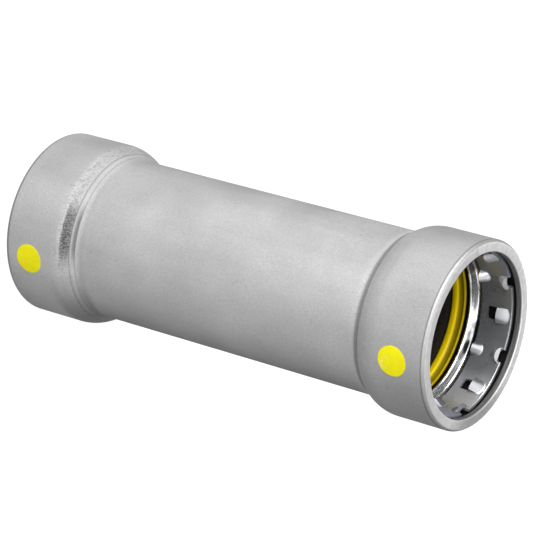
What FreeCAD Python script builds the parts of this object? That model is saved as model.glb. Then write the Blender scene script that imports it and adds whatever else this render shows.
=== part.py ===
import FreeCAD, Part
import math
import os

# Straight press coupling without a pipe stop, for two steel pipes of equal diameter.
# It stands on one rim. The origin is the centre of that rim and +Z runs up along the bore.
# Sizes are millimetres. A depth is measured from the face of an end, inwards along the axis.

# The pipe that the coupling takes, and the overall length
pipe_diameter = 60.3
length = 207.0

# Body: one formed steel tube with a widened socket and a turned-in lip at each end
wall = 2.9
bore_clearance = 0.6
socket_step = 4.85
lip_clearance = 3.45
lip_thickness = 2.7
rim_radius = 1.7
lip_edge_radius = 0.6
lip_back_radius = 0.9
shoulder_crown_radius = 14.2
shoulder_neck_radius = 4.5
shoulder_slope = 36.0

# Grip ring: a split band of sheet steel with three kinds of pressed teeth
grip_length = 14.2
grip_sheet = 1.2
grip_end_play = 1.7
grip_side_play = 1.1
grip_split = 3.0
grip_split_angle = -127.3
grip_edge_radius = 0.5
tooth_rows = 13
tooth_tip_clearance = 0.5
tooth_width = 6.3
tooth_sink = 0.3
window_width = 5.3
window_corner = 1.0
front_tooth_tip = 2.4
front_tooth_length = 3.8
front_tooth_face = 2.0
deep_tooth_notch = 0.8
deep_tooth_length = 4.5
middle_tooth_start = 0.4
middle_tooth_length = 5.6
middle_tooth_bow = 0.8
middle_window_length = 5.2

# Separator ring: a polished funnel between the grip ring and the seal
separator_length = 4.5
separator_clearance = 0.65
separator_front_step = 0.3
separator_front_land = 1.2
separator_nose_radius = 0.4

# Seal ring: rubber, with a recessed front, a narrow front lip and a wide deep lip
seal_length = 8.3
seal_clearance = 0.5
seal_front_land = 0.4
seal_seat_width = 1.6
seal_recess = 1.3
seal_front_lip_depth = 2.1
seal_groove_depth = 3.2
seal_groove_length = 0.9
seal_groove_rise = 1.0
seal_deep_lip_depth = 6.0
seal_heel_rise = 1.2

# Gap between a ring and the socket wall
ring_clearance = 0.1

# Colour marks printed on the sockets: distance from the end, and angle around the axis
mark_diameter = 12.6
mark_thickness = 0.08
mark_top_depth = 14.5
mark_top_angle = -90.9
mark_bottom_depth = 12.7
mark_bottom_angle = -89.3

# Radii that follow from the sizes above
pipe_radius = pipe_diameter / 2
bore_radius = pipe_radius + bore_clearance
tube_radius = bore_radius + wall
socket_radius = tube_radius + socket_step
socket_inner_radius = socket_radius - wall
lip_radius = pipe_radius + lip_clearance
grip_outer_radius = socket_inner_radius - grip_side_play
grip_inner_radius = grip_outer_radius - grip_sheet
tooth_tip_radius = pipe_radius + tooth_tip_clearance
separator_inner_radius = pipe_radius + separator_clearance
separator_front_radius = grip_inner_radius + separator_front_step
separator_outer_radius = socket_inner_radius - ring_clearance
seal_inner_radius = pipe_radius + seal_clearance
seal_groove_radius = seal_inner_radius + seal_groove_rise
seal_seat_radius = socket_inner_radius - seal_seat_width

# Depths of what is stacked in a socket, from the rim inwards
grip_depth = lip_thickness + grip_end_play
separator_depth = grip_depth + grip_length
seal_depth = separator_depth + separator_length
shoulder_start = seal_depth + seal_front_land

# Slope of the shoulder's cone. Where the step is too low for it, the two curves almost meet
shoulder_curves = shoulder_crown_radius + shoulder_neck_radius
steepest = math.acos(1 - socket_step / shoulder_curves)
slope = min(math.radians(shoulder_slope), 0.98 * steepest)
cone_drop = socket_step - shoulder_curves * (1 - math.cos(slope))
shoulder_end = shoulder_start + shoulder_curves * math.sin(slope) + cone_drop / math.tan(slope)

centre = FreeCAD.Vector(0, 0, 0)
up = FreeCAD.Vector(0, 0, 1)
across = FreeCAD.Vector(0, 1, 0)


# Point of a section: distance from the axis, and depth below an end that lies at z = 0
def point(radius, depth):
    return FreeCAD.Vector(radius, 0, -depth)


# Arc of a section about a centre, from one angle to another: 0 points outwards, 90 deeper
def arc(centre_radius, centre_depth, radius, first, last):
    places = []
    for angle in (first, (first + last) / 2, last):
        turn = math.radians(angle)
        places.append(point(centre_radius + radius * math.cos(turn),
                            centre_depth + radius * math.sin(turn)))
    return Part.Arc(*places).toShape()


# Smooth curve of a section, drawn by its control points
def curve(*poles):
    bezier = Part.BezierCurve()
    bezier.setPoles(list(poles))
    return bezier.toShape()


# The same edges, run through the other way
def backwards(edges):
    turned = []
    for edge in reversed(edges):
        other = edge.copy()
        other.reverse()
        turned.append(other)
    return turned


# Closed outline from edges in order, with a straight edge across each gap between neighbours
def outline(edges):
    pieces = []
    for edge, following in zip(edges, edges[1:] + edges[:1]):
        pieces.append(edge)
        end = edge.lastVertex(True).Point
        start = following.firstVertex(True).Point
        if end.distanceToPoint(start) > 1e-6:
            pieces.append(Part.makeLine(end, start))
    return Part.Wire(pieces)


# Solid made by turning a closed outline about the axis
def turned_solid(wire):
    return Part.Face(wire).revolve(centre, up, 360)


# Wall of a socket from a depth to its shoulder's end, set in from the outer surface
def wall_edges(inset, first_depth):
    turn = math.degrees(slope)
    straight = Part.makeLine(point(socket_radius - inset, first_depth),
                             point(socket_radius - inset, shoulder_start))
    crown = arc(socket_radius - shoulder_crown_radius, shoulder_start,
                shoulder_crown_radius - inset, 0, turn)
    neck = arc(tube_radius + shoulder_neck_radius, shoulder_end,
               shoulder_neck_radius + inset, 180 + turn, 180)
    return [straight, crown, neck]


# The body's tube: one half is turned about the axis, and the other half is its mirror image
def make_body():
    middle_inside = Part.makeLine(point(bore_radius, shoulder_end), point(bore_radius, length / 2))
    middle_outside = Part.makeLine(point(tube_radius, length / 2), point(tube_radius, shoulder_end))
    rim = arc(socket_radius - rim_radius, rim_radius, rim_radius, 0, -90)
    lip_edge = arc(lip_radius + lip_edge_radius, lip_edge_radius, lip_edge_radius, -90, -180)
    lip_bore = Part.makeLine(point(lip_radius, lip_edge_radius), point(lip_radius, lip_thickness))
    lip_back = arc(socket_inner_radius - lip_back_radius, lip_thickness + lip_back_radius,
                   lip_back_radius, -90, 0)
    outside = backwards(wall_edges(0, rim_radius))
    inside = wall_edges(wall, lip_thickness + lip_back_radius)
    section = [middle_outside] + outside + [rim, lip_edge, lip_bore, lip_back] + inside + [middle_inside]
    half = turned_solid(outline(section))
    top = half.translated(up * length)
    bottom = half.mirror(centre, up)
    return top.fuse(bottom).removeSplitter()


# Room inside a socket behind its lip, less the gap that a ring keeps to the wall
def socket_room():
    edges = wall_edges(wall + ring_clearance, lip_thickness)
    axis_line = Part.makeLine(point(0, shoulder_end), point(0, lip_thickness))
    return turned_solid(outline(edges + [axis_line]))


# Arched outline across a tooth at a depth. Its crown and feet stand at their own radii
def arch(depth, crown, feet, base, width):
    left_foot = FreeCAD.Vector(feet, -width / 2, -depth)
    right_foot = FreeCAD.Vector(feet, width / 2, -depth)
    right_base = FreeCAD.Vector(base, width / 2, -depth)
    left_base = FreeCAD.Vector(base, -width / 2, -depth)
    bow = Part.Arc(left_foot, FreeCAD.Vector(crown, 0, -depth), right_foot).toShape()
    sides = Part.makePolygon([right_foot, right_base, left_base, left_foot])
    return Part.Wire([bow] + sides.Edges)


# Scoop that lies just under a surface at its root and arches up to a crown at its open edge
def scoop(root_depth, edge_depth, surface, crown, feet, base, width):
    sunk = surface + tooth_sink
    root = arch(root_depth, sunk, sunk + tooth_sink, base, width)
    edge = arch(edge_depth, crown, feet, base, width)
    return Part.makeLoft([root, edge], True, True)


# One tooth: its pressed sheet, and the hollow that the pressing leaves behind it. Its bow is how
# far its open edge is arched. With no bow given, it is arched all the way from the band
def tooth(root_depth, edge_depth, bow=None):
    sheet_feet = grip_inner_radius + tooth_sink
    hollow_feet = grip_outer_radius + tooth_sink
    if bow is not None:
        sheet_feet = tooth_tip_radius + bow
        hollow_feet = sheet_feet + grip_sheet
    sheet = scoop(root_depth, edge_depth, grip_inner_radius, tooth_tip_radius,
                  sheet_feet, grip_outer_radius - tooth_sink, tooth_width)
    hollow = scoop(root_depth, edge_depth, grip_outer_radius, tooth_tip_radius + grip_sheet,
                   hollow_feet, grip_outer_radius + grip_sheet, window_width)
    return sheet, hollow


# Front tooth: a thick tongue that rises towards the pipe's way in, sheared square across its end.
# Gives its sheet, its hollow, and the depth that its end reaches at the back
def front_tooth():
    tip_depth = grip_depth + front_tooth_tip
    rise = math.atan2(grip_inner_radius - tooth_tip_radius, front_tooth_length)
    end_depth = tip_depth - front_tooth_face * math.sin(rise)
    end_radius = tooth_tip_radius + front_tooth_face * math.cos(rise)
    crown = tooth_tip_radius - (tip_depth - end_depth) * math.tan(rise)
    hollow_length = (grip_outer_radius - end_radius) / math.tan(rise)
    sheet = scoop(tip_depth + front_tooth_length, end_depth, grip_inner_radius, crown,
                  grip_inner_radius + tooth_sink, grip_outer_radius - tooth_sink, tooth_width)
    hollow = scoop(end_depth + hollow_length, end_depth, grip_outer_radius, end_radius,
                   grip_outer_radius + tooth_sink, grip_outer_radius + grip_sheet, window_width)
    back = point(end_radius, end_depth)
    beyond = back + (point(tooth_tip_radius, tip_depth) - back) * 2
    corner = point(beyond.x, end_depth)
    waste = turned_solid(Part.makePolygon([back, beyond, corner, back]))
    return sheet.cut(waste), hollow, end_depth


# Hole punched through the band from one depth to another
def punched(first_depth, last_depth):
    reach = grip_outer_radius + grip_sheet - tooth_tip_radius
    corner = FreeCAD.Vector(tooth_tip_radius, -window_width / 2, -last_depth)
    return Part.makeBox(reach, window_width, last_depth - first_depth, corner)


# Punched hole whose two deep corners are round
def punched_window(first_depth, last_depth):
    hole = punched(first_depth, last_depth)
    corners = []
    for edge in hole.Edges:
        along_radius = abs(edge.tangentAt(edge.FirstParameter).x) > 0.5
        if along_radius and edge.CenterOfMass.z < -(first_depth + last_depth) / 2:
            corners.append(edge)
    return hole.makeFillet(window_corner, corners)


# Row with a tooth near each edge of the band, and a notch at the open edge of each
def edge_row():
    front_sheet, front_hollow, front_end = front_tooth()
    deep_edge = separator_depth - deep_tooth_notch
    deep_sheet, deep_hollow = tooth(deep_edge - deep_tooth_length, deep_edge)
    front_notch = punched(grip_depth - grip_sheet, front_end)
    deep_notch = punched(deep_edge, separator_depth + grip_sheet)
    return [front_sheet, deep_sheet], [front_hollow, deep_hollow, front_notch, deep_notch]


# Row with one tooth near the middle of the band, and a window behind its open edge
def middle_row():
    root = grip_depth + middle_tooth_start
    edge = root + middle_tooth_length
    sheet, hollow = tooth(root, edge, middle_tooth_bow)
    return [sheet], [hollow, punched_window(edge, edge + middle_window_length)]


# The band before its teeth are pressed. Its edges are rounded on the inside
def make_band():
    edge_radius = grip_inner_radius + grip_edge_radius
    front = arc(edge_radius, grip_depth + grip_edge_radius, grip_edge_radius, -90, -180)
    deep = arc(edge_radius, separator_depth - grip_edge_radius, grip_edge_radius, 180, 90)
    outside = Part.makeLine(point(grip_outer_radius, separator_depth), point(grip_outer_radius, grip_depth))
    return turned_solid(outline([front, deep, outside]))


# Split band with rows of teeth, both kinds of row by turns. It is drawn with its split at angle 0
def make_grip_ring():
    split = Part.makeBox(grip_outer_radius * 2, grip_split, grip_length * 2,
                         FreeCAD.Vector(0, -grip_split / 2, -separator_depth - grip_length / 2))
    split_turn = math.degrees(grip_split / grip_inner_radius)
    pitch = (360 - split_turn) / tooth_rows
    sheets = []
    holes = []
    for row in range(tooth_rows):
        row_sheets, row_holes = middle_row() if row % 2 else edge_row()
        for shape in row_sheets + row_holes:
            shape.rotate(centre, up, split_turn / 2 + (row + 0.5) * pitch)
        sheets += row_sheets
        holes += row_holes
    ring = make_band().cut(split).fuse(sheets).cut(holes).removeSplitter()
    ring.rotate(centre, up, grip_split_angle)
    return ring


# Polished ring: straight inside next to the grip ring, then narrowing to a rounded nose at the seal
def make_separator_ring():
    front_depth = separator_depth + separator_front_land
    nose_depth = seal_depth - separator_nose_radius
    middle = (front_depth + nose_depth) / 2
    funnel = curve(point(separator_front_radius, front_depth), point(separator_front_radius, middle),
                   point(separator_inner_radius, middle), point(separator_inner_radius, nose_depth))
    nose = arc(separator_inner_radius + separator_nose_radius, nose_depth, separator_nose_radius, 180, 90)
    outside = Part.makeLine(point(separator_outer_radius, seal_depth),
                            point(separator_outer_radius, separator_depth))
    front = Part.makeLine(point(separator_outer_radius, separator_depth),
                          point(separator_front_radius, separator_depth))
    return turned_solid(outline([funnel, nose, outside, front]))


# Rubber ring: its inside has two lips with a groove between, and its outside follows the socket wall
def make_seal_ring():
    end = seal_depth + seal_length
    face = seal_depth + seal_recess
    front_lip = seal_depth + seal_front_lip_depth
    groove = seal_depth + seal_groove_depth
    groove_end = groove + seal_groove_length
    deep_lip = seal_depth + seal_deep_lip_depth
    front_middle = (front_lip + groove) / 2
    deep_middle = (groove_end + deep_lip) / 2
    seat = Part.makeLine(point(seal_seat_radius, seal_depth), point(seal_seat_radius, face))
    flank = curve(point(seal_seat_radius, face), point(seal_inner_radius, face),
                  point(seal_inner_radius, front_lip))
    into_groove = curve(point(seal_inner_radius, front_lip), point(seal_inner_radius, front_middle),
                        point(seal_groove_radius, front_middle), point(seal_groove_radius, groove))
    out_of_groove = curve(point(seal_groove_radius, groove_end), point(seal_groove_radius, deep_middle),
                          point(seal_inner_radius, deep_middle), point(seal_inner_radius, deep_lip))
    heel = curve(point(seal_inner_radius, deep_lip), point(seal_inner_radius, end),
                 point(seal_inner_radius + seal_heel_rise, end))
    back = Part.makeLine(point(socket_radius, end), point(socket_radius, seal_depth))
    ring = turned_solid(outline([seat, flank, into_groove, out_of_groove, heel, back]))
    return ring.common(socket_room())


# Round spot of paint on a socket's outer surface
def make_mark(height, angle):
    low = FreeCAD.Vector(0, 0, height - mark_diameter)
    skin = Part.makeCylinder(socket_radius + mark_thickness, mark_diameter * 2, low)
    skin = skin.cut(Part.makeCylinder(socket_radius, mark_diameter * 2, low))
    spot = Part.makeCylinder(mark_diameter / 2, socket_radius * 2, up * height, FreeCAD.Vector(-1, 0, 0))
    mark = skin.common(spot)
    mark.rotate(centre, up, angle - 180)
    return mark


# Two copies of a ring that is drawn below z = 0: one in the top socket, one turned over in the bottom
def in_both_sockets(name, ring):
    top = ring.translated(up * length)
    bottom = ring.copy()
    bottom.rotate(centre, across, 180)
    return {name + "_top": top, name + "_bottom": bottom}


parts = {"body": make_body()}
parts.update(in_both_sockets("grip_ring", make_grip_ring()))
parts.update(in_both_sockets("separator_ring", make_separator_ring()))
parts.update(in_both_sockets("seal_ring", make_seal_ring()))
parts["mark_top"] = make_mark(length - mark_top_depth, mark_top_angle)
parts["mark_bottom"] = make_mark(mark_bottom_depth, mark_bottom_angle)

os.makedirs("parts", exist_ok=True)
for name, shape in parts.items():
    shape.exportStep("parts/" + name + ".step")
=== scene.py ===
import math

import bpy
from mathutils import Matrix, Vector


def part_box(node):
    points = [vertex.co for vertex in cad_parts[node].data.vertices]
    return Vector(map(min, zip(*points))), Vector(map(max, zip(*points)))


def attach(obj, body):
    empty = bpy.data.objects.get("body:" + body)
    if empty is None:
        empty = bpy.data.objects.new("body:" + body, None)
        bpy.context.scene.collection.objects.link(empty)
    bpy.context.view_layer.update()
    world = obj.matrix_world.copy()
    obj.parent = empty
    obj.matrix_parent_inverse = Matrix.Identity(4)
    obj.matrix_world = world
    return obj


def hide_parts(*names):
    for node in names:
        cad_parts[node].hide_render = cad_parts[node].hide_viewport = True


# A press coupling for steel pipe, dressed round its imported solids. Sizes are metres, and +Z runs up
# the bore.

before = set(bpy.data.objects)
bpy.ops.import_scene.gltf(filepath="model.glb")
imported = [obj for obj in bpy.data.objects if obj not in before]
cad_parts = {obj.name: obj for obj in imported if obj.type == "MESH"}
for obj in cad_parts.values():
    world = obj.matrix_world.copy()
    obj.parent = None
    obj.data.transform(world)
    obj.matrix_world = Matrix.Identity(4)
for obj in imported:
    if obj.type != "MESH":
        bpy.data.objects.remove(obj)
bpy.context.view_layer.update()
bpy.context.scene.view_settings.view_transform = "Standard"

MM = 0.001

# Form of the body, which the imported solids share
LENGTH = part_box("body")[1].z
SOCKET_RADIUS = 38.5 * MM
TUBE_RADIUS = 33.65 * MM
WALL = 2.9 * MM
BORE_RADIUS = TUBE_RADIUS - WALL
LIP_RADIUS = 33.6 * MM
LIP_THICKNESS = 2.7 * MM
RIM_RADIUS = 1.7 * MM
LIP_EDGE_RADIUS = 0.6 * MM
LIP_BACK_RADIUS = 0.9 * MM
SHOULDER_DEPTH = 23.5 * MM
CROWN_RADIUS = 14.2 * MM
NECK_RADIUS = 4.5 * MM
SHOULDER_SLOPE = math.radians(36.0)
CREASE_WIDTH = 0.5 * MM
CREASE_DEPTH = 0.2 * MM
BODY_TURNS = 256

# Where the finish or its painted shade changes, as from and to, and where a third number follows it is the
# soft edges' width.
# Heights run from the lower end, which is the far one in the photograph. Depths run inwards from either
# end. First the plating, from the lip to the tube
LIP_FACE = (0.3 * MM, 0.1 * MM)
# Painted shade on the rim's rounding, with a painted dark line round it
RIM_EDGE_SHADE = (1.5 * MM, 1.2 * MM)
RIM_SHADE_LINE = (1.3 * MM, 1.8 * MM, 0.25 * MM)
# Painted shade on the whole near socket, and more under its shoulder's step
NEAR_SOCKET_SHADE = (LENGTH - 33 * MM, LENGTH - 29 * MM)
STEP_SHADE_START = (31.2 * MM, 33.4 * MM)
STEP_SHADE_END = (36 * MM, 34.4 * MM)
SHOULDER = (27 * MM, 37 * MM, 2.5 * MM)
# Painted shade on the far shoulder, and more on its side and the tube's side turned from the lamps
FAR_SHOULDER_SHADE = (28 * MM, 37 * MM, 2 * MM)
FAR_SHADE = (24 * MM, 37 * MM, 3 * MM)
TUBE_SHADE = (35 * MM, 40 * MM)
PEENING = (26 * MM, 31.4 * MM, 1.5 * MM)
STAIN = (28.1 * MM, 31.8 * MM, 0.4 * MM)
STRIPE = (32.6 * MM, 33.8 * MM, 0.5 * MM)
# Painted shade along the far shoulder's two creases
CROWN_SHADE_LINE = (31.7 * MM, 31.9 * MM, 0.15 * MM)
NECK_SHADE_LINE = (33.5 * MM, 33.7 * MM, 0.2 * MM)

# Then the insides of the sockets
# Painted shadow behind a grip ring, then the ring's band radii and the depths over which its teeth are
# painted darker
GRIP_POCKET_SHADE = (19 * MM, 18 * MM)
BAND_RADII = (33.0 * MM, 33.2 * MM)
TOOTH_SHADE_DEPTHS = (5.5 * MM, 12 * MM)
# Painted shade in the seal's groove and over its front lip, and painted shadow on its front face
SEAL_GROOVE_RADII = (30.85 * MM, 31.5 * MM)
SEAL_GROOVE_DEPTHS = (25 * MM, 25.4 * MM)
SEAL_FRONT_RADII = (31.1 * MM, 31.5 * MM)
SEAL_FRONT_DEPTHS = (25.1 * MM, 24.8 * MM)
SEAL_LIP_SHADE_DEPTHS = (26.2 * MM, 25.6 * MM)

# Where the finish changes round the coupling, in degrees from the side that the camera stands on, which
# is itself an angle from +X
CAMERA_SIDE = -118.7
STAINED_SIDE = (-10, 24, 9)
PEENING_LAST = (46, 26)
PEENING_FIRST = (235, 255)
# The sides below get painted shade, painted highlights or painted reflections
FAR_DARK_SIDE = (52, 100, 22)
TUBE_DARK_SIDE = (72, 108, 20)
FACE_SHADED_NEAR_SIDE = (92, 72)
FACE_DARK_SIDE = (94, 146, 18)
GRIP_LIT_SIDE = (122, 153, 8)
GRIP_DARK_REFLECTION_SIDE = (124, 112)
GRIP_GLINT_SIDE = (214, 230)

# The plating's two tones, and the upper mark's scuffed flecks
PLATING_DARK = (0.43, 0.43, 0.432)
PLATING_PALE = (0.525, 0.525, 0.525)
SCUFF_PLACE = (0.2 * MM, -38.5 * MM, 188.8 * MM)
SCUFF_REACH = (3.4 * MM, 1.4 * MM)

# The photograph's frame, in pixels, and where it shows the open end
PHOTO_WIDTH = 533
PHOTO_FOCAL = 2915.7
RIM_CENTRE_X = 477.5
RIM_CENTRE_Y = 336.4
CAMERA_DISTANCE = 29.36 * SOCKET_RADIUS
AXIS_TILT = math.radians(32.63)
AXIS_TURN = math.radians(15.43)
CAMERA_AROUND = math.radians(160.0)

# Floor, world and lamps. A lamp has its angle round the coupling from the camera's side, its angle above
# the floor, its distance, its width and height, and its power in watts
FLOOR_REACH = 6.0
FLOOR_COLOUR = 0.25
FLOOR_GLOW_SEEN = 0.88
FLOOR_GLOW_REFLECTED = 0.02
WORLD_STRENGTH = 0.06
LAMPS = {
    "key": (-50, 30, 1.6, (1.7, 1.3), 52),
    "mouth": (10, 74, 1.1, (0.7, 0.7), 4),
    "face": (15, 26, 1.7, (2.4, 1.5), 25),
    "side": (95, 32, 1.6, (1.0, 0.5), 2.5),
    "back": (180, 8, 1.6, (1.4, 0.9), 6.5),
}


# Material tools

class Paint:
    """A node material that is built up in code, with the shader's own sockets set by name."""

    def __init__(self, name, **settings):
        self.material = bpy.data.materials.new(name)
        self.material.use_nodes = True
        self.nodes = self.material.node_tree.nodes
        self.links = self.material.node_tree.links
        self.shader = self.nodes["Principled BSDF"]
        for socket, value in settings.items():
            self.shader.inputs[socket.replace("_", " ")].default_value = value
        self.place = self.nodes.new("ShaderNodeTexCoord").outputs["Object"]

    def set(self, socket, source):
        self.links.new(source, self.shader.inputs[socket])

    def mapped(self, scale):
        node = self.nodes.new("ShaderNodeMapping")
        node.inputs["Scale"].default_value = scale
        self.links.new(self.place, node.inputs["Vector"])
        return node.outputs["Vector"]

    def noise(self, scale, detail=3, roughness=0.5, source=None):
        node = self.nodes.new("ShaderNodeTexNoise")
        node.inputs["Scale"].default_value = scale
        node.inputs["Detail"].default_value = detail
        node.inputs["Roughness"].default_value = roughness
        self.links.new(source or self.place, node.inputs["Vector"])
        return node.outputs["Fac"]

    def ramp(self, source, *stops):
        node = self.nodes.new("ShaderNodeValToRGB")
        elements = node.color_ramp.elements
        while len(elements) < len(stops):
            elements.new(0.5)
        for element, (position, colour) in zip(elements, stops):
            element.position = position
            element.color = (*colour, 1) if isinstance(colour, tuple) else (colour, colour, colour, 1)
        self.links.new(source, node.inputs["Fac"])
        return node.outputs["Color"]

    def math(self, operation, a, b=0.0, clamp=False):
        node = self.nodes.new("ShaderNodeMath")
        node.operation = operation
        node.use_clamp = clamp
        for socket, value in zip(node.inputs, (a, b)):
            if isinstance(value, (int, float)):
                socket.default_value = value
            else:
                self.links.new(value, socket)
        return node.outputs["Value"]

    def range(self, source, low, high, to_low=0.0, to_high=1.0):
        node = self.nodes.new("ShaderNodeMapRange")
        node.interpolation_type = "SMOOTHSTEP"
        ends = {"From Min": low, "From Max": high, "To Min": to_low, "To Max": to_high}
        for name, value in ends.items():
            node.inputs[name].default_value = value
        self.links.new(source, node.inputs["Value"])
        return node.outputs["Result"]

    def mix(self, factor, a, b, blend="MIX"):
        node = self.nodes.new("ShaderNodeMix")
        node.data_type = "RGBA"
        node.blend_type = blend
        for socket, value in ((node.inputs[0], factor), (node.inputs[6], a), (node.inputs[7], b)):
            if isinstance(value, (int, float)):
                socket.default_value = value
            elif isinstance(value, tuple):
                socket.default_value = (*value, 1)
            else:
                self.links.new(value, socket)
        return node.outputs[2]

    def parts(self):
        node = self.nodes.new("ShaderNodeSeparateXYZ")
        self.links.new(self.place, node.inputs[0])
        return node.outputs

    def radius(self):
        """Distance from the bore's axis"""
        x, y, _ = self.parts()
        return self.math("SQRT", self.math("ADD", self.math("MULTIPLY", x, x), self.math("MULTIPLY", y, y)))

    def around(self):
        """Angle round the axis from the side that the camera stands on, in degrees"""
        x, y, _ = self.parts()
        turn = self.math("MULTIPLY", self.math("ARCTAN2", y, x), 180 / math.pi)
        return self.math("SUBTRACT", turn, CAMERA_SIDE)

    def height(self):
        return self.parts()[2]

    def depth(self):
        """Distance along the axis from the end that is closer"""
        height = self.height()
        return self.math("MINIMUM", height, self.math("SUBTRACT", LENGTH, height))

    def band(self, source, low, high, soft):
        """1 between two values and 0 outside them, with soft edges"""
        rising = self.range(source, low - soft, low + soft)
        falling = self.range(source, high + soft, high - soft)
        return self.math("MULTIPLY", rising, falling)

    def all_of(self, *masks):
        """1 where all of the masks are 1"""
        shared = masks[0]
        for mask in masks[1:]:
            shared = self.math("MULTIPLY", shared, mask)
        return shared

    def darken(self, colour, mask, least):
        """The colour, multiplied by least where the mask is 1"""
        return self.mix(mask, colour, self.mix(1.0, colour, (least,) * 3, "MULTIPLY"))

    def distance_to(self, place):
        node = self.nodes.new("ShaderNodeVectorMath")
        node.operation = "DISTANCE"
        node.inputs[1].default_value = place
        self.links.new(self.place, node.inputs[0])
        return node.outputs["Value"]

    def bump(self, height, distance, strength=1.0, normal=None):
        node = self.nodes.new("ShaderNodeBump")
        node.inputs["Strength"].default_value = strength
        node.inputs["Distance"].default_value = distance
        self.links.new(height, node.inputs["Height"])
        if normal is not None:
            self.links.new(normal, node.inputs["Normal"])
        return node.outputs["Normal"]


def shorn_face(paint, around):
    """Cut face of a lip, with turned rings, and painted shade on the sides turned from the lamps"""
    rings = paint.noise(1, 2, source=paint.math("MULTIPLY", paint.radius(), 1500))
    colour = paint.ramp(paint.mix(0.5, paint.noise(420, 4, 0.65), rings), (0.36, 0.58), (0.62, 0.78))
    # Painted shade on the sides of the cut face turned from the lamps
    colour = paint.darken(colour, paint.band(around, *FACE_DARK_SIDE), 0.52)
    return paint.darken(colour, paint.range(around, *FACE_SHADED_NEAR_SIDE), 0.85)


def plated_steel():
    """Satin zinc plating: fine blasted grain, soft clouds, peening where the lower socket was formed, a
    stain on the far shoulder, and painted shade on the near socket, the rims, the far shoulder's creases
    and the sides turned from the lamps
    """
    paint = Paint("plated_steel", Metallic=0.55, Specular_IOR_Level=0.25, Specular_Tint=(0.6, 0.6, 0.6, 1))
    cloud = paint.noise(30, 5, 0.55)
    drawn = paint.noise(1, 3, source=paint.mapped((90, 90, 9)))
    grain = paint.noise(1900, 3, 0.6)
    pits = paint.noise(620, 4, 0.7)
    colour = paint.ramp(paint.mix(0.4, cloud, drawn), (0.35, PLATING_DARK), (0.65, PLATING_PALE))
    colour = paint.mix(1.0, colour, paint.ramp(grain, (0.32, 0.84), (0.68, 1.08)), "MULTIPLY")
    colour = paint.mix(1.0, colour, paint.ramp(pits, (0.28, 0.80), (0.40, 1.0)), "MULTIPLY")

    height = paint.height()
    depth = paint.depth()
    around = paint.around()
    upper = paint.range(height, LENGTH * 0.4, LENGTH * 0.6)
    lower = paint.math("SUBTRACT", 1.0, upper)
    # Painted shade under the near shoulder's step, and on the sides of the far shoulder and the tube turned
    # from the lamps
    near_step_shade = paint.all_of(paint.range(depth, *STEP_SHADE_START), upper, paint.range(depth, *STEP_SHADE_END))
    far_shade = paint.all_of(paint.band(around, *FAR_DARK_SIDE), paint.band(depth, *FAR_SHADE), lower)
    tube_shade = paint.all_of(paint.band(around, *TUBE_DARK_SIDE), paint.range(depth, *TUBE_SHADE))

    stained_side = paint.band(around, *STAINED_SIDE)
    dints = paint.range(paint.noise(1, 3, 0.6, source=paint.mapped((1900, 1900, 1100))), 0.44, 0.56)
    speckles = paint.math("SUBTRACT", 1.0, paint.math("MULTIPLY", dints, 0.45))
    stain = paint.all_of(stained_side, paint.band(height, *STAIN), speckles)
    stripe = paint.all_of(stained_side, paint.band(height, *STRIPE))

    peened = paint.noise(1, 3, 0.6, source=paint.mapped((1300, 1300, 520)))
    peened_side = paint.math("MAXIMUM", paint.range(around, *PEENING_LAST),
                             paint.range(around, *PEENING_FIRST))
    formed = paint.all_of(paint.band(depth, *PEENING), lower, peened_side)

    # Darkenings: the stain, the stripe and the peening are the plating's own; the rest are painted shade
    shades = [(paint.range(height, *NEAR_SOCKET_SHADE), 0.88), (near_step_shade, 0.6), (far_shade, 0.56),
              (tube_shade, 0.7), (paint.all_of(paint.band(depth, *FAR_SHOULDER_SHADE), lower), 0.84),
              (paint.band(depth, *RIM_SHADE_LINE), 0.5), (paint.range(depth, *RIM_EDGE_SHADE), 0.85),
              (stain, 0.22), (stripe, 0.45), (paint.all_of(formed, paint.range(peened, 0.52, 0.40)), 0.78),
              (paint.band(height, *CROWN_SHADE_LINE), 0.6), (paint.band(height, *NECK_SHADE_LINE), 0.78)]
    for mask, least in shades:
        colour = paint.darken(colour, mask, least)
    paint.set("Base Color", paint.mix(paint.range(depth, *LIP_FACE), colour, shorn_face(paint, around)))

    satin = paint.range(cloud, 0.3, 0.7, 0.46, 0.56)
    dull = paint.math("MULTIPLY", paint.band(depth, *SHOULDER), 0.3)
    paint.set("Roughness", paint.math("ADD", satin, dull, clamp=True))
    ripple = paint.bump(paint.math("MULTIPLY", peened, formed), 0.0004, 0.9)
    paint.set("Normal", paint.bump(grain, 0.00008, 0.6, ripple))
    return paint.material


def lip_steel():
    """Cut wall of a lip's opening, painted darker than the plating as painted shade"""
    paint = Paint("lip_steel", Metallic=0.8)
    cut = paint.noise(1, 3, 0.6, source=paint.mapped((90, 90, 2600)))
    paint.set("Base Color", paint.ramp(cut, (0.35, (0.115, 0.115, 0.117)), (0.65, (0.22, 0.22, 0.223))))
    paint.set("Roughness", paint.range(cut, 0.3, 0.7, 0.35, 0.5))
    paint.set("Normal", paint.bump(cut, 0.0001, 0.6))
    return paint.material


def painted_dark_bore():
    """Wall inside the tube and the sockets, painted almost black as painted shade, and darker still behind
    a grip ring as painted shadow
    """
    paint = Paint("painted_dark_bore", Specular_IOR_Level=0.12)
    scale = paint.noise(1, 4, 0.65, source=paint.mapped((1400, 1400, 700)))
    colour = paint.ramp(scale, (0.35, (0.005, 0.004, 0.003)), (0.7, (0.022, 0.016, 0.012)))
    # Painted shadow behind a grip ring
    paint.set("Base Color", paint.darken(colour, paint.range(paint.depth(), *GRIP_POCKET_SHADE), 0.25))
    paint.set("Roughness", paint.range(scale, 0.3, 0.7, 0.6, 0.8))
    paint.set("Normal", paint.bump(scale, 0.0001, 0.7))
    return paint.material


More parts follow.
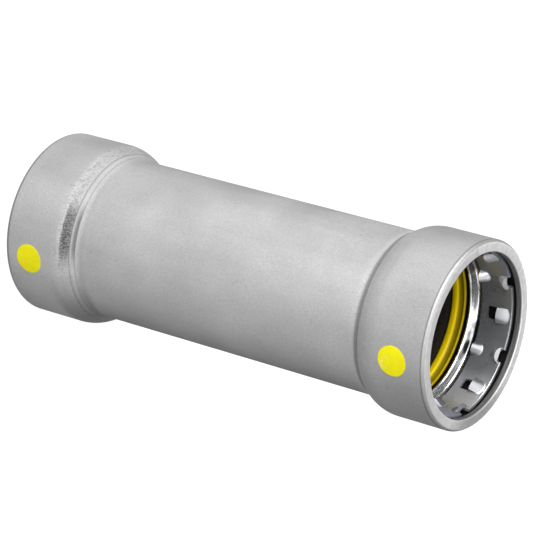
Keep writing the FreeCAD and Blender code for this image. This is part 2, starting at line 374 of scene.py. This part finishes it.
def grip_steel():
    """Spring steel of the toothed band, rolled smooth. Its tones are painted reflections and shade: teeth
    darker deeper in and pale on one side, the band darker than the teeth, dark on two sides and pale on the
    lit side, where the teeth are dark
    """
    paint = Paint("grip_steel", Metallic=0.7)
    cloud = paint.noise(110, 3)
    steel = paint.ramp(cloud, (0.3, (0.36, 0.368, 0.385)), (0.7, (0.42, 0.428, 0.445)))
    around = paint.around()
    on_band = paint.range(paint.radius(), *BAND_RADII)
    glint_side = paint.range(around, *GRIP_GLINT_SIDE)
    dark_reflection_sides = paint.math("MAXIMUM", glint_side, paint.range(around, *GRIP_DARK_REFLECTION_SIDE))
    # Painted shade on the deeper teeth, a painted highlight on one side's teeth, and painted dark
    # reflections on the band
    teeth = paint.mix(1.0, steel, paint.range(paint.depth(), *TOOTH_SHADE_DEPTHS, 0.95, 0.42), "MULTIPLY")
    teeth = paint.mix(glint_side, teeth, (0.86, 0.87, 0.89))
    band = paint.mix(dark_reflection_sides, paint.darken(steel, 1.0, 0.66), (0.27, 0.285, 0.34))
    plain = paint.mix(on_band, teeth, band)
    # Painted light on the lit side: the band pale, the teeth dark
    lit = paint.mix(on_band, paint.darken(steel, 1.0, 0.34), (0.53, 0.54, 0.56))
    paint.set("Base Color", paint.mix(paint.band(around, *GRIP_LIT_SIDE), plain, lit))
    paint.set("Roughness", paint.range(cloud, 0.3, 0.7, 0.26, 0.34))
    paint.set("Normal", paint.bump(paint.noise(700, 3), 0.00005, 0.5))
    return paint.material


def polished_steel():
    """Bright separator ring with fine turning marks, and dark blotches that are painted reflections"""
    paint = Paint("polished_steel", Metallic=1.0)
    lines = paint.noise(1, 2, source=paint.mapped((40, 40, 9000)))
    colour = paint.ramp(lines, (0.3, (0.78, 0.78, 0.785)), (0.7, (0.86, 0.86, 0.865)))
    # Dark blotches painted as reflections
    dark_reflection_blotches = paint.range(paint.noise(85, 2, 0.5), 0.50, 0.40)
    paint.set("Base Color", paint.darken(colour, dark_reflection_blotches, 0.3))
    paint.set("Roughness", paint.range(lines, 0.3, 0.7, 0.20, 0.28))
    paint.set("Normal", paint.bump(paint.noise(260, 2), 0.0001, 0.25))
    return paint.material


def yellow_rubber():
    """Moulded seal rubber, with painted shade in its groove and over its front lip, and a front face
    painted almost black as painted shadow
    """
    paint = Paint("yellow_rubber", Specular_IOR_Level=0.12)
    cloud = paint.noise(160, 3)
    radius = paint.radius()
    depth = paint.depth()
    colour = paint.ramp(cloud, (0.3, (0.72, 0.52, 0.0)), (0.7, (0.80, 0.59, 0.001)))
    groove = paint.all_of(paint.range(radius, *SEAL_GROOVE_RADII), paint.range(depth, *SEAL_GROOVE_DEPTHS))
    front = paint.all_of(paint.range(radius, *SEAL_FRONT_RADII), paint.range(depth, *SEAL_FRONT_DEPTHS))
    # Painted shade in the groove and over the front lip, and painted shadow on the front face
    for mask, least in ((groove, 0.32), (paint.range(depth, *SEAL_LIP_SHADE_DEPTHS), 0.48), (front, 0.012)):
        colour = paint.darken(colour, mask, least)
    paint.set("Base Color", colour)
    paint.set("Roughness", paint.range(cloud, 0.3, 0.7, 0.34, 0.46))
    paint.set("Normal", paint.bump(paint.noise(1500, 2), 0.00003, 0.4))
    return paint.material


def mark_paint():
    """Yellow spot of printed paint, scuffed pale in a few flecks on one side of the upper one"""
    paint = Paint("mark_paint", Specular_IOR_Level=0.12)
    cloud = paint.noise(350, 3)
    colour = paint.ramp(cloud, (0.3, (0.64, 0.585, 0.004)), (0.7, (0.69, 0.635, 0.007)))
    flecks = paint.range(paint.noise(1100, 3, 0.7), 0.55, 0.61)
    near = paint.range(paint.distance_to(SCUFF_PLACE), *SCUFF_REACH)
    paint.set("Base Color", paint.mix(paint.all_of(flecks, near), colour, (0.66, 0.64, 0.34)))
    paint.set("Roughness", paint.range(cloud, 0.3, 0.7, 0.55, 0.66))
    paint.set("Normal", paint.bump(paint.noise(1900, 3, 0.6), 0.00005, 0.5))
    return paint.material


# Mesh tools

def arc(centre_radius, centre_depth, radius, first, last, steps):
    """Points of a section's arc. Angle 0 points outwards and 90 degrees deeper"""
    places = []
    for step in range(steps + 1):
        turn = math.radians(first + (last - first) * step / steps)
        places.append((centre_radius + radius * math.cos(turn), centre_depth + radius * math.sin(turn)))
    return places


def stretch(first, last, steps):
    """Evenly spaced points of a straight stretch of a section, its two ends left out"""
    return [(first[0] + (last[0] - first[0]) * s / steps, first[1] + (last[1] - first[1]) * s / steps)
            for s in range(1, steps)]


def lathe(name, section, turns, slots):
    """Mesh turned about the axis from a closed section, with the material slot of each of its sides"""
    count = len(section)
    points = []
    for turn in range(turns):
        angle = 2 * math.pi * turn / turns
        points += [(r * math.cos(angle), r * math.sin(angle), z) for r, z in section]
    faces = []
    for turn in range(turns):
        here, there = turn * count, (turn + 1) % turns * count
        for i in range(count):
            j = (i + 1) % count
            faces.append((here + i, there + i, there + j, here + j))
    mesh = bpy.data.meshes.new(name)
    mesh.from_pydata(points, [], faces)
    mesh.update()
    for index, face in enumerate(mesh.polygons):
        face.material_index = slots[index % count]
    piece = bpy.data.objects.new(name, mesh)
    bpy.context.scene.collection.objects.link(piece)
    return piece


def smooth(piece, sharp_above):
    """Smooth shading, with edges kept sharp where the faces turn by more degrees than this"""
    piece.data.shade_smooth()
    piece.data.set_sharp_from_angle(angle=math.radians(sharp_above))


# The body

def crease(place, slope, width, depth):
    """Three points of a fine groove in a section, where the surface falls towards the middle at a slope"""
    along = Vector((-math.sin(slope), math.cos(slope))) * width / 2
    sunk = Vector((-math.cos(slope), -math.sin(slope))) * depth
    place = Vector(place)
    return [tuple(place - along), tuple(place + sunk), tuple(place + along)]


def half_section():
    """Section of one half, in three runs: the outside from the middle to the rim and round the lip's
    edge, the lip's opening, and the inside back to the middle"""
    turn = math.degrees(SHOULDER_SLOPE)
    crown_out = arc(SOCKET_RADIUS - CROWN_RADIUS, SHOULDER_DEPTH, CROWN_RADIUS, 0, turn, 14)
    curves = CROWN_RADIUS + NECK_RADIUS
    step = SOCKET_RADIUS - TUBE_RADIUS
    drop = step - curves * (1 - math.cos(SHOULDER_SLOPE))
    end = SHOULDER_DEPTH + curves * math.sin(SHOULDER_SLOPE) + drop / math.tan(SHOULDER_SLOPE)
    neck_out = arc(TUBE_RADIUS + NECK_RADIUS, end, NECK_RADIUS, 180 + turn, 180, 10)
    crown_in = arc(SOCKET_RADIUS - CROWN_RADIUS, SHOULDER_DEPTH, CROWN_RADIUS - WALL, 0, turn, 12)
    neck_in = arc(TUBE_RADIUS + NECK_RADIUS, end, NECK_RADIUS + WALL, 180 + turn, 180, 10)
    rim = arc(SOCKET_RADIUS - RIM_RADIUS, RIM_RADIUS, RIM_RADIUS, 0, -90, 10)
    lip_edge = arc(LIP_RADIUS + LIP_EDGE_RADIUS, LIP_EDGE_RADIUS, LIP_EDGE_RADIUS, -90, -180, 6)
    inner = SOCKET_RADIUS - WALL
    lip_back = arc(inner - LIP_BACK_RADIUS, LIP_THICKNESS + LIP_BACK_RADIUS, LIP_BACK_RADIUS, -90, 0, 6)
    crown_crease = crease(crown_out[-1], SHOULDER_SLOPE, CREASE_WIDTH, CREASE_DEPTH)
    neck_crease = crease(neck_out[0], SHOULDER_SLOPE, CREASE_WIDTH, CREASE_DEPTH)
    outside = list(reversed(crown_out[:-1] + crown_crease + neck_crease + neck_out[1:]))
    wall_out = stretch(outside[-1], rim[0], 12)
    wall_in = stretch(lip_back[-1], crown_in[0], 10)
    tube_out = stretch((TUBE_RADIUS, LENGTH / 2), outside[0], 24)
    tube_in = stretch(neck_in[-1], (BORE_RADIUS, LENGTH / 2), 24)
    plated = tube_out + outside + wall_out + rim + lip_edge[:-1]
    opening = [lip_edge[-1]]
    inside_run = [(LIP_RADIUS, LIP_THICKNESS)] + lip_back + wall_in + crown_in + neck_in + tube_in
    return plated, opening, inside_run


def make_body():
    plated, opening, inside_run = half_section()
    half = plated + opening + inside_run
    top = [(r, LENGTH - depth) for r, depth in half]
    bottom = [(r, depth) for r, depth in reversed(half)]
    # A side has its first point's slot, and in the mirrored half its last point's
    sides = [0] * len(plated) + [1] * len(opening) + [2] * len(inside_run)
    piece = lathe("coupling_body", top + bottom, BODY_TURNS, sides + sides[-2::-1] + [0])
    smooth(piece, sharp_above=50)
    for material in (plated_steel(), lip_steel(), painted_dark_bore()):
        piece.data.materials.append(material)
    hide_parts("body")
    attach(piece, "root")


# Rings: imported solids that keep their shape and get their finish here

def finish_node(node, material):
    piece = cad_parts[node]
    piece.data.materials.clear()
    piece.data.materials.append(material)
    smooth(piece, sharp_above=30)


def finish_rings():
    finishes = {"grip_ring": grip_steel(), "separator_ring": polished_steel(),
                "seal_ring": yellow_rubber(), "mark": mark_paint()}
    for name, material in finishes.items():
        for end in ("_top", "_bottom"):
            finish_node(name + end, material)


# Floor, light and camera

def photo_axes():
    """Turn from the photograph's axes (right, down, into the picture) to the coupling's"""
    inwards = Vector((-math.cos(AXIS_TILT) * math.cos(AXIS_TURN),
                      -math.cos(AXIS_TILT) * math.sin(AXIS_TURN), math.sin(AXIS_TILT)))
    upwards = Vector((0, -1, 0))
    upwards = (upwards - inwards * upwards.dot(inwards)).normalized()
    photo = Matrix((inwards, upwards, inwards.cross(upwards)))
    cosine, sine = math.cos(CAMERA_AROUND), math.sin(CAMERA_AROUND)
    part = Matrix(((0, 0, -1), (cosine, sine, 0), (sine, -cosine, 0))).transposed()
    return part @ photo


def make_camera(turn):
    data = bpy.data.cameras.new("camera")
    data.sensor_width = 36.0
    data.lens = PHOTO_FOCAL / PHOTO_WIDTH * data.sensor_width
    data.clip_start = 0.05
    data.clip_end = 20
    camera = bpy.data.objects.new("camera", data)
    bpy.context.scene.collection.objects.link(camera)
    middle = PHOTO_WIDTH / 2
    rim = Vector(((RIM_CENTRE_X - middle) / PHOTO_FOCAL, (RIM_CENTRE_Y - middle) / PHOTO_FOCAL, 1))
    place = Vector((0, 0, LENGTH)) - turn @ (rim * CAMERA_DISTANCE)
    sides = Matrix((turn @ Vector((1, 0, 0)), turn @ Vector((0, -1, 0)), turn @ Vector((0, 0, -1))))
    camera.matrix_world = Matrix.Translation(place) @ sides.transposed().to_4x4()
    bpy.context.scene.camera = camera


def make_light(name, around, elevation, distance, size, power):
    """Soft lamp that faces the coupling's middle"""
    data = bpy.data.lights.new(name, "AREA")
    data.shape = "RECTANGLE"
    data.size, data.size_y = size
    data.energy = power
    lamp = bpy.data.objects.new(name, data)
    bpy.context.scene.collection.objects.link(lamp)
    turn, rise = math.radians(CAMERA_SIDE + around), math.radians(elevation)
    away = Vector((math.cos(turn) * math.cos(rise), math.sin(turn) * math.cos(rise), math.sin(rise)))
    lamp.location = Vector((0, 0, LENGTH / 2)) + away * distance
    lamp.rotation_euler = away.to_track_quat("Z", "Y").to_euler()


def make_floor():
    """Pale floor. The camera sees it brighter than it is lit, and its shadows stay"""
    mesh = bpy.data.meshes.new("floor")
    reach = FLOOR_REACH
    mesh.from_pydata([(-reach, -reach, 0), (reach, -reach, 0), (reach, reach, 0), (-reach, reach, 0)],
                     [], [(0, 1, 2, 3)])
    floor = bpy.data.objects.new("floor", mesh)
    bpy.context.scene.collection.objects.link(floor)
    paint = Paint("floor", Roughness=1.0, Specular_IOR_Level=0.0)
    paint.shader.inputs["Base Color"].default_value = (*[FLOOR_COLOUR] * 3, 1)
    path = paint.nodes.new("ShaderNodeLightPath")
    glow = paint.nodes.new("ShaderNodeEmission")
    mirrored = paint.math("MAXIMUM", path.outputs["Is Glossy Ray"], path.outputs["Is Transmission Ray"])
    seen = paint.math("MULTIPLY", path.outputs["Is Camera Ray"], FLOOR_GLOW_SEEN)
    reflected = paint.math("MULTIPLY", mirrored, FLOOR_GLOW_REFLECTED)
    paint.links.new(paint.math("ADD", seen, reflected), glow.inputs["Strength"])
    both = paint.nodes.new("ShaderNodeAddShader")
    paint.links.new(paint.shader.outputs[0], both.inputs[0])
    paint.links.new(glow.outputs[0], both.inputs[1])
    paint.links.new(both.outputs[0], paint.nodes["Material Output"].inputs["Surface"])
    mesh.materials.append(paint.material)


def make_world():
    world = bpy.data.worlds.new("world")
    bpy.context.scene.world = world
    world.use_nodes = True
    world.node_tree.nodes["Background"].inputs["Color"].default_value = (1, 1, 1, 1)
    world.node_tree.nodes["Background"].inputs["Strength"].default_value = WORLD_STRENGTH


make_body()
finish_rings()
photo_turn = photo_axes()
make_camera(photo_turn)
make_floor()
make_world()
for lamp_name, lamp_values in LAMPS.items():
    make_light(lamp_name, *lamp_values)
